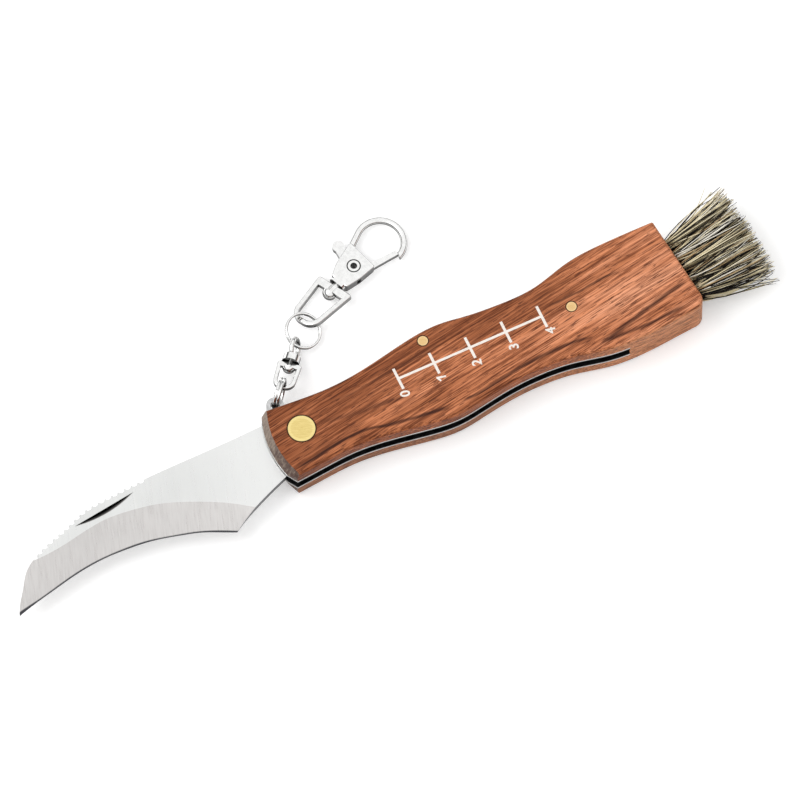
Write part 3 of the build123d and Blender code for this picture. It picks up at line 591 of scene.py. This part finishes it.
def brass_material(name, centre, radius, low, high):
    """Brass head with fine turning marks, a few scratches and a paler rim, a painted highlight."""
    s = Shader(name)
    away = s.distance(s.scaled((1, 1, 1)), (*centre, HANDLE_TOP))
    rings = s.noise(s.math("MULTIPLY", away, RINGS_PER_MM), 3.0, 0.6)
    marks = s.noise(s.scaled((0.5, 4.0, 1.0), 30.0), 3.0, 0.6)
    tone = s.math("ADD", s.math("MULTIPLY", rings, 0.5), s.math("MULTIPLY", marks, 0.5))
    # painted highlight: the head grows paler towards its rim
    rim_highlight = s.span(away, *(radius * share for share in HEAD_HIGHLIGHT_SHARES), 0.0, 0.14)
    return s.finish(
        base_color=s.ramp(s.math("ADD", tone, rim_highlight), (0.36, low), (0.66, high)),
        metallic=1.0,
        roughness=s.span(tone, *NOISE_RANGE, 0.42, 0.3),
        normal=s.bump(tone, 0.12, 0.04),
    )


def eyelet_lines(s, eye):
    """1 on the rim and in the hole of the eyelet about a rivet, where painted shade goes, else 0."""
    flat = s.flattened(s.scaled((1, 1, 1)))
    outer = s.disc(flat, eye, EYELET_RADIUS, EYELET_FADE)
    inner = s.disc(flat, eye, EYELET_RADIUS - EYELET_LINE, EYELET_FADE)
    hole = s.disc(flat, eye, EYELET_HOLE, HOLE_FADE)
    return s.math("MAXIMUM", s.math("SUBTRACT", outer, inner), hole)


def plating_material(name, colour_low, colour_high, roughness, eye=None):
    """Bright plating with painted shade on its upright sides, and on the rim and in the hole of an eyelet
    about a rivet if one is given.
    """
    s = Shader(name)
    waves = s.noise(s.scaled((0.7, 0.7, 0.7)), 2.0, 0.5)
    grime = s.noise(s.scaled((0.8, 0.8, 0.8)), 3.0, 0.6)
    colour = s.mix(s.span(grime, *NOISE_RANGE), colour_low, colour_high)
    # painted shade: upright sides go dark, as do the eyelet's rim and hole
    painted_side_shade = s.span(s.tilt(), *PLATED_SHADE_TILTS, SIDE_SHADE_SHARE, 0.0)
    if eye:
        painted_side_shade = s.math("MAXIMUM", painted_side_shade, eyelet_lines(s, eye))
    return s.finish(
        base_color=s.mix(painted_side_shade, colour, (0.006, 0.006, 0.005)),
        metallic=1.0,
        roughness=s.span(grime, *NOISE_RANGE, roughness * 1.5, roughness),
        normal=s.bump(waves, 0.12, 0.1),
    )


def ink_material():
    """White printing ink, a little uneven where the grain shows through."""
    s = Shader("white_ink")
    grain = s.noise(s.scaled((0.5, 7.0, 5.0), -5.5), 3.0, 0.6)
    colour = s.mix(s.span(grain, 0.30, 0.46), (0.58, 0.45, 0.37), (0.84, 0.79, 0.73))
    return s.finish(base_color=colour, roughness=0.5, normal=s.bump(grain, 0.1, 0.03))


def hair_material(name, root, tip):
    """One colour of natural bristle, varied between the hairs and darker at the roots as painted shade
    between the tufts.
    """
    s = Shader(name)
    along = s.axis(s.scaled((1, 1, 1)), 0)
    patch = s.noise(s.scaled((0.25, 1.6, 1.6)), 2.0, 0.6)
    # painted shade: the hair is darker towards the roots, between the tufts
    share = s.math("ADD", s.span(along, *HAIR_ROOT_SHADE_ALONG, 0.0, 0.5), s.span(patch, *SPECKLE_RANGE, 0.0, 0.5))
    return s.finish(
        base_color=s.mix(share, root, tip),
        roughness=0.55,
        specular_ior_level=0.2,
        normal=s.bump(patch, 0.1, 0.03),
    )


def backing_material():
    """Dark end-grain wood in the brush pocket, with glue stains."""
    s = Shader("backing_wood")
    spots = s.noise(s.scaled((0.8, 1.2, 1.2)), 4.0, 0.6)
    colour = s.ramp(spots, (0.35, (0.10, 0.05, 0.03)), (0.65, (0.30, 0.16, 0.10)))
    return s.finish(base_color=colour, roughness=0.7, normal=s.bump(spots, 0.3, 0.1))


def assign(material, *nodes):
    """Gives carried-over CAD nodes their material."""
    for node in nodes:
        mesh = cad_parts[node].data
        mesh.materials.clear()
        mesh.materials.append(material)


def mesh_of(name, bm):
    """A mesh made from a bmesh, which is then freed."""
    mesh = bpy.data.meshes.new(name)
    bm.to_mesh(mesh)
    bm.free()
    return mesh


def piece(name, mesh, materials, body):
    """Adds a mesh as a piece that rides on a body."""
    made = bpy.data.objects.new(name, mesh)
    bpy.context.scene.collection.objects.link(made)
    for material in materials:
        mesh.materials.append(material)
    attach(made, body)
    return made


def prism(bm, corners, rise):
    """A closed prism between a loop of corners, in millimetres, and the same loop moved by rise."""
    near = [bm.verts.new(corner * MM) for corner in corners]
    far = [bm.verts.new((corner + rise) * MM) for corner in corners]
    bm.faces.new(far)
    bm.faces.new(near[::-1])
    for i in range(len(near)):
        j = (i + 1) % len(near)
        bm.faces.new((near[i], near[j], far[j], far[i]))


def stroke(bm, start, end, width):
    """A flat printed bar between two points of the ruler face."""
    start = Vector((*start, HANDLE_TOP))
    end = Vector((*end, HANDLE_TOP))
    along = (end - start).normalized()
    side = Vector((-along.y, along.x, 0)) * (width / 2)
    prism(bm, [start - side, end - side, end + side, start + side], Vector((0, 0, PRINT_THICKNESS)))


def ruler_print(ink):
    """The printed scale: one line in four stretches, five ticks across it, and the numerals."""
    bm = bmesh.new()
    along = (RULER_FOUR - RULER_ZERO).normalized()
    across = Vector((-along.y, along.x))
    shares = [i / (RULER_TICKS - 1) for i in range(RULER_TICKS)]
    spots = [RULER_ZERO.lerp(RULER_FOUR, share) for share in shares]
    for start, end in zip(spots, spots[1:]):
        stroke(bm, start + along * TICK_WIDTH / 2, end - along * TICK_WIDTH / 2, LINE_WIDTH)
    for share, spot in zip(shares, spots):
        high = TICK_HIGH[0] + (TICK_HIGH[1] - TICK_HIGH[0]) * share
        low = TICK_LOW[0] + (TICK_LOW[1] - TICK_LOW[0]) * share
        stroke(bm, spot + across * high, spot - across * low, TICK_WIDTH)
    piece("ruler_lines", mesh_of("ruler_lines", bm), [ink], "handle")
    for number, spot in enumerate(spots):
        name = f"ruler_numeral_{number}"
        mesh = numeral_one(name) if number == 1 else numeral(name, number)
        turn = Matrix.Rotation(math.radians(NUMERAL_TURN), 4, "Z")
        place = Vector((spot.x + NUMERAL_MOVES[number], spot.y - NUMERAL_DROP, HANDLE_TOP))
        mesh.transform(Matrix.Translation(place * MM) @ turn)
        piece(name, mesh, [ink], "handle")


def numeral_one(name):
    """The numeral 1 about the origin, as one printed outline: a stem with its flag."""
    bm = bmesh.new()
    prism(bm, [Vector((*point, 0)) for point in ONE_OUTLINE], Vector((0, 0, PRINT_THICKNESS)))
    return mesh_of(name, bm)


def numeral(name, number):
    """One plain numeral about the origin, upright and standing on z = 0."""
    font = bpy.data.curves.new(name, "FONT")
    font.body = str(number)
    font.size = NUMERAL_HEIGHT * MM / CAP_HEIGHT_SHARE
    font.align_x = "CENTER"
    font.align_y = "CENTER"
    font.offset = NUMERAL_BOLD * font.size
    font.extrude = PRINT_THICKNESS * MM / 2
    font.resolution_u = 6
    holder = bpy.data.objects.new(name, font)
    bpy.context.scene.collection.objects.link(holder)
    bpy.context.view_layer.update()
    mesh = bpy.data.meshes.new_from_object(holder.evaluated_get(bpy.context.evaluated_depsgraph_get()))
    bpy.data.objects.remove(holder)
    mesh.transform(Matrix.Translation((0, 0, font.extrude)))
    mesh.name = name
    return mesh


def butt_frame():
    """Directions of the butt: up its width, through its thickness, and out of it."""
    lean = math.radians(BUTT_LEAN)
    out = Vector((math.cos(lean), math.sin(lean), 0))
    up = Vector((-math.sin(lean), math.cos(lean), 0))
    return up, Vector((0, 0, 1)), out


def within(point):
    """The point, or the nearest place to it where a hair stays inside the model's box."""
    inset = STRAND_RADIUS * STRAND_SIZES[1]
    limits = zip(point, *cad_box)
    return Vector([min(max(x, least / MM + inset), most / MM - inset) for x, least, most in limits])


def add_strand(bm, points, radius, shade):
    """One hair that thins towards its tip, in one of the brush's shades."""
    rings = []
    for i, point in enumerate(points):
        share = i / (len(points) - 1)
        ahead = points[min(i + 1, len(points) - 1)] - points[max(i - 1, 0)]
        side = ahead.cross(Vector((0, 0, 1))).normalized()
        rise = side.cross(ahead).normalized()
        size = radius * (1 - STRAND_TAPER * share**2)
        ring = []
        for k in range(STRAND_SIDES):
            turn = 2 * math.pi * k / STRAND_SIDES
            ring.append(bm.verts.new((point + (side * math.cos(turn) + rise * math.sin(turn)) * size) * MM))
        rings.append(ring)
    for low, high in zip(rings, rings[1:]):
        for k in range(STRAND_SIDES):
            j = (k + 1) % STRAND_SIDES
            face = bm.faces.new((low[k], low[j], high[j], high[k]))
            face.material_index = shade
            face.smooth = True
    for cap in (rings[0][::-1], rings[-1]):
        bm.faces.new(cap).material_index = shade


def any_shade(rng):
    """A shade of hair, by the share of each."""
    return rng.choices(range(len(HAIR_SHARES)), HAIR_SHARES)[0]


def strand_points(rng, tuft, spot, sway):
    """Points along one hair: from its root, past a knee, to its tip."""
    up, through, out = butt_frame()
    root = BUTT_MIDDLE + up * (tuft[0] * TUFT_PITCH[0] + spot[0] * TUFT_RADIUS)
    root = root + through * (tuft[1] * TUFT_PITCH[1] + spot[1] * TUFT_RADIUS) - out * ROOT_DEPTH
    stray = STRAY_SPREAD if rng.random() < STRAY_SHARE else 1.0
    length = BRISTLE_LENGTH * rng.uniform(*BRISTLE_LENGTH_SHARES)
    leans = [tuft[i] * TUFT_LEAN[i] + spot[i] * EDGE_LEAN[i] + sway[i] for i in (0, 1)]
    lean_up = leans[0] + BRUSH_LEAN + rng.gauss(0, STRAND_SWAY[0]) * stray
    lean_through = leans[1] + rng.gauss(0, STRAND_SWAY[1])
    tip = within(root + out * length + up * lean_up + through * lean_through)
    knee_up = rng.gauss(-KNEE_DROP, KNEE_SWAY[0])
    knee_through = rng.gauss(0, KNEE_SWAY[1])
    knee = within(root.lerp(tip, 0.5) + up * knee_up + through * knee_through)
    shares = [k / (STRAND_STEPS - 1) for k in range(STRAND_STEPS)]
    return [root.lerp(knee, t).lerp(knee.lerp(tip, t), t) for t in shares]


def add_tuft(bm, rng, row, column):
    """One tuft of hair: a few clumps, each with a favourite shade and a sway of its own."""
    tuft = (column - (TUFT_COLUMNS - 1) / 2, row - (TUFT_ROWS - 1) / 2)
    clumps = []
    for _ in range(CLUMPS_IN_TUFT):
        shade = any_shade(rng)
        clumps.append((shade, [rng.gauss(0, spread) for spread in CLUMP_SWAY]))
    for i in range(STRANDS_IN_TUFT):
        share = math.sqrt((i + 0.5) / STRANDS_IN_TUFT)
        turn = i * GOLDEN_TURN + column
        spot = (share * math.cos(turn), share * math.sin(turn))
        sector = int(turn % (2 * math.pi) / (2 * math.pi) * CLUMPS_IN_TUFT)
        favourite, sway = clumps[sector]
        points = strand_points(rng, tuft, spot, sway)
        size = STRAND_RADIUS * rng.uniform(*STRAND_SIZES)
        shade = favourite if rng.random() < CLUMP_SHARE else any_shade(rng)
        add_strand(bm, points, size, shade)


def brush(hairs, backing):
    """Ten tufts of natural bristle that fan out a little from their backing."""
    rng = random.Random(BRUSH_SEED)
    bm = bmesh.new()
    for row in range(TUFT_ROWS):
        for column in range(TUFT_COLUMNS):
            add_tuft(bm, rng, row, column)
    hair = piece("brush_hair", mesh_of("brush_hair", bm), hairs, "handle")
    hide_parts("brush_bristles")
    base = piece("brush_backing", backing_mesh(), [backing], "handle")
    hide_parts("brush_bristles")


def backing_mesh():
    """The slice that closes the pocket behind the tufts, with rounded corners."""
    up, through, out = butt_frame()
    width, depth, thickness = BACKING
    back = BUTT_MIDDLE - out * (thickness + BACKING_GAP)
    corners = []
    for quarter, (sx, sy) in enumerate(((1, 1), (-1, 1), (-1, -1), (1, -1))):
        for step in range(BACKING_CORNER_STEPS + 1):
            turn = math.pi / 2 * (quarter + step / BACKING_CORNER_STEPS)
            u = sx * (width / 2 - BACKING_CORNER) + math.cos(turn) * BACKING_CORNER
            v = sy * (depth / 2 - BACKING_CORNER) + math.sin(turn) * BACKING_CORNER
            corners.append(back + up * u + through * v)
    bm = bmesh.new()
    prism(bm, corners, out * thickness)
    return mesh_of("brush_backing", bm)


def dress_wood_and_steel():
    """Materials of the handle's wood, its steel and the blade."""
    assign(wood_material("handle_wood", True), "handle_block")
    assign(wood_material("brush_wood", False), "brush_block")
    assign(liner_material("liner_steel_back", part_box("liner_back")[0][2] / MM), "liner_back")
    assign(liner_material("liner_steel_front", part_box("liner_front")[1][2] / MM), "liner_front")
    assign(spring_material(), "backspring")
    assign(blade_material(), "blade")


def dress_brass():
    """Materials of the pale pivot and the deeper pins."""
    pale = ((0.66, 0.50, 0.17), (0.88, 0.72, 0.31))
    deep = ((0.68, 0.44, 0.18), (0.92, 0.66, 0.34))
    assign(brass_material("pivot_brass", PIVOT, HEAD_RADIUS, *pale), "pivot_rivet")
    assign(brass_material("sleeve_brass", PIVOT, HEAD_RADIUS, *pale), "pivot_sleeve")
    assign(brass_material("middle_pin_brass", MIDDLE_PIN, PIN_RADIUS, *deep), "middle_pin")
    assign(brass_material("rear_pin_brass", REAR_PIN, PIN_RADIUS, *deep), "rear_pin")


def dress_chain():
    """Materials of the chain and the snap hook."""
    bright = ((0.86, 0.86, 0.85), (0.95, 0.95, 0.94))
    chrome = plating_material("chain_plating", *bright, 0.09)
    assign(chrome, "lanyard_ring", "split_ring", "small_swivel_bow", "small_swivel_eye")
    assign(plating_material("hook_plating", *bright, 0.12), "large_swivel_bow", "hook_lever")
    assign(plating_material("eyelet_plating", *bright, 0.12, HOOK_RIVET), "hook_body", "lever_rivet")
    assign(plating_material("spring_wire", (0.4, 0.4, 0.4), (0.55, 0.55, 0.55), 0.25), "lever_spring")


def dress_brush():
    """The hair in its five shades, in the order of HAIR_SHARES, and the backing."""
    # each pair is a root colour, darkened as painted shade, and a tip colour
    hairs = [
        hair_material("hair_cream", (0.800, 0.690, 0.430), (0.970, 0.880, 0.640)),
        hair_material("hair_olive", (0.180, 0.145, 0.080), (0.320, 0.270, 0.160)),
        hair_material("hair_black", (0.008, 0.006, 0.005), (0.022, 0.016, 0.012)),
        hair_material("hair_white", (0.900, 0.850, 0.730), (0.970, 0.940, 0.840)),
        hair_material("hair_tan", (0.380, 0.240, 0.115), (0.580, 0.430, 0.240)),
    ]
    brush(hairs, backing_material())


def floor_material():
    """White sweep that shows white to the camera and in reflections but keeps the shadow."""
    s = Shader("floor_white")
    tiny = s.noise(s.scaled((0.02, 0.02, 0.02)), 2.0)
    colour = s.mix(tiny, (0.80, 0.80, 0.80), (0.82, 0.82, 0.82))
    plain = s.add("BsdfDiffuse", {"Color": colour})
    glow = s.add("Emission", {"Color": (1, 1, 1), "Strength": FLOOR_GLOW})
    both = s.add("AddShader")
    s.link(plain, both, 0)
    s.link(glow, both, 1)
    path = s.add("LightPath")
    seen = s.math("MAXIMUM", path.outputs["Is Camera Ray"], path.outputs["Is Glossy Ray"])
    seen = s.math("MAXIMUM", seen, path.outputs["Is Transmission Ray"])
    choose = s.add("MixShader", {0: seen})
    s.link(plain, choose, 1)
    s.link(both, choose, 2)
    s.link(choose, s.output)
    return s.material


def lay_floor():
    """The pale floor that the knife lies on."""
    bm = bmesh.new()
    bmesh.ops.create_grid(bm, x_segments=1, y_segments=1, size=FLOOR_SIZE)
    mesh = mesh_of("floor", bm)
    mesh.materials.append(floor_material())
    floor = bpy.data.objects.new("floor", mesh)
    floor.location.z = -FLOOR_DROP
    bpy.context.scene.collection.objects.link(floor)


def surround():
    """A white tent overhead with a dark strip of room all round, just above the floor."""
    world = bpy.data.worlds.new("surround")
    bpy.context.scene.world = world
    world.use_nodes = True
    s = Shader("surround", world.node_tree)
    height = s.axis(s.place.outputs["Generated"], 2)
    floor_side = s.span(height, *STRIP_LOW, 1.0, STRIP_SHADE)
    tent_side = s.span(height, *STRIP_HIGH, STRIP_SHADE, TENT_SHADE)
    shade = s.math("MAXIMUM", floor_side, tent_side)
    s.link(s.add("Background", {"Color": shade, "Strength": 1.0}), s.output)


def lamp():
    """A square soft lamp that looks at the knife."""
    light = bpy.data.lights.new("key", "AREA")
    light.size = LAMP_SIZE
    light.energy = LAMP_POWER
    made = bpy.data.objects.new("key", light)
    made.location = LAMP_PLACE
    made.rotation_euler = (-Vector(LAMP_PLACE)).to_track_quat("-Z", "Y").to_euler()
    bpy.context.scene.collection.objects.link(made)


def camera():
    """A long lens above the knife, at the photograph's angle."""
    turn = math.radians(VIEW_AZIMUTH)
    rise = math.radians(VIEW_ELEVATION)
    right = Vector((math.cos(turn), math.sin(turn), 0))
    ahead = Vector((-math.sin(turn), math.cos(turn), 0))
    back = Vector((0, 0, math.sin(rise))) - ahead * math.cos(rise)
    data = bpy.data.cameras.new("camera")
    data.lens = LENS_MM
    data.sensor_width = SENSOR_MM
    data.clip_start = CLIP_NEAR
    data.clip_end = CLIP_FAR
    made = bpy.data.objects.new("camera", data)
    distance = VIEW_WIDTH * LENS_MM / SENSOR_MM
    turned = Matrix((right, back.cross(right), back)).transposed().to_4x4()
    made.matrix_world = Matrix.Translation(VIEW_CENTRE + back * distance) @ turned
    bpy.context.scene.collection.objects.link(made)
    bpy.context.scene.camera = made


dress_wood_and_steel()
dress_brass()
dress_chain()
ruler_print(ink_material())
dress_brush()
lay_floor()
surround()
lamp()
camera()
bpy.context.scene.view_settings.view_transform = "Standard"
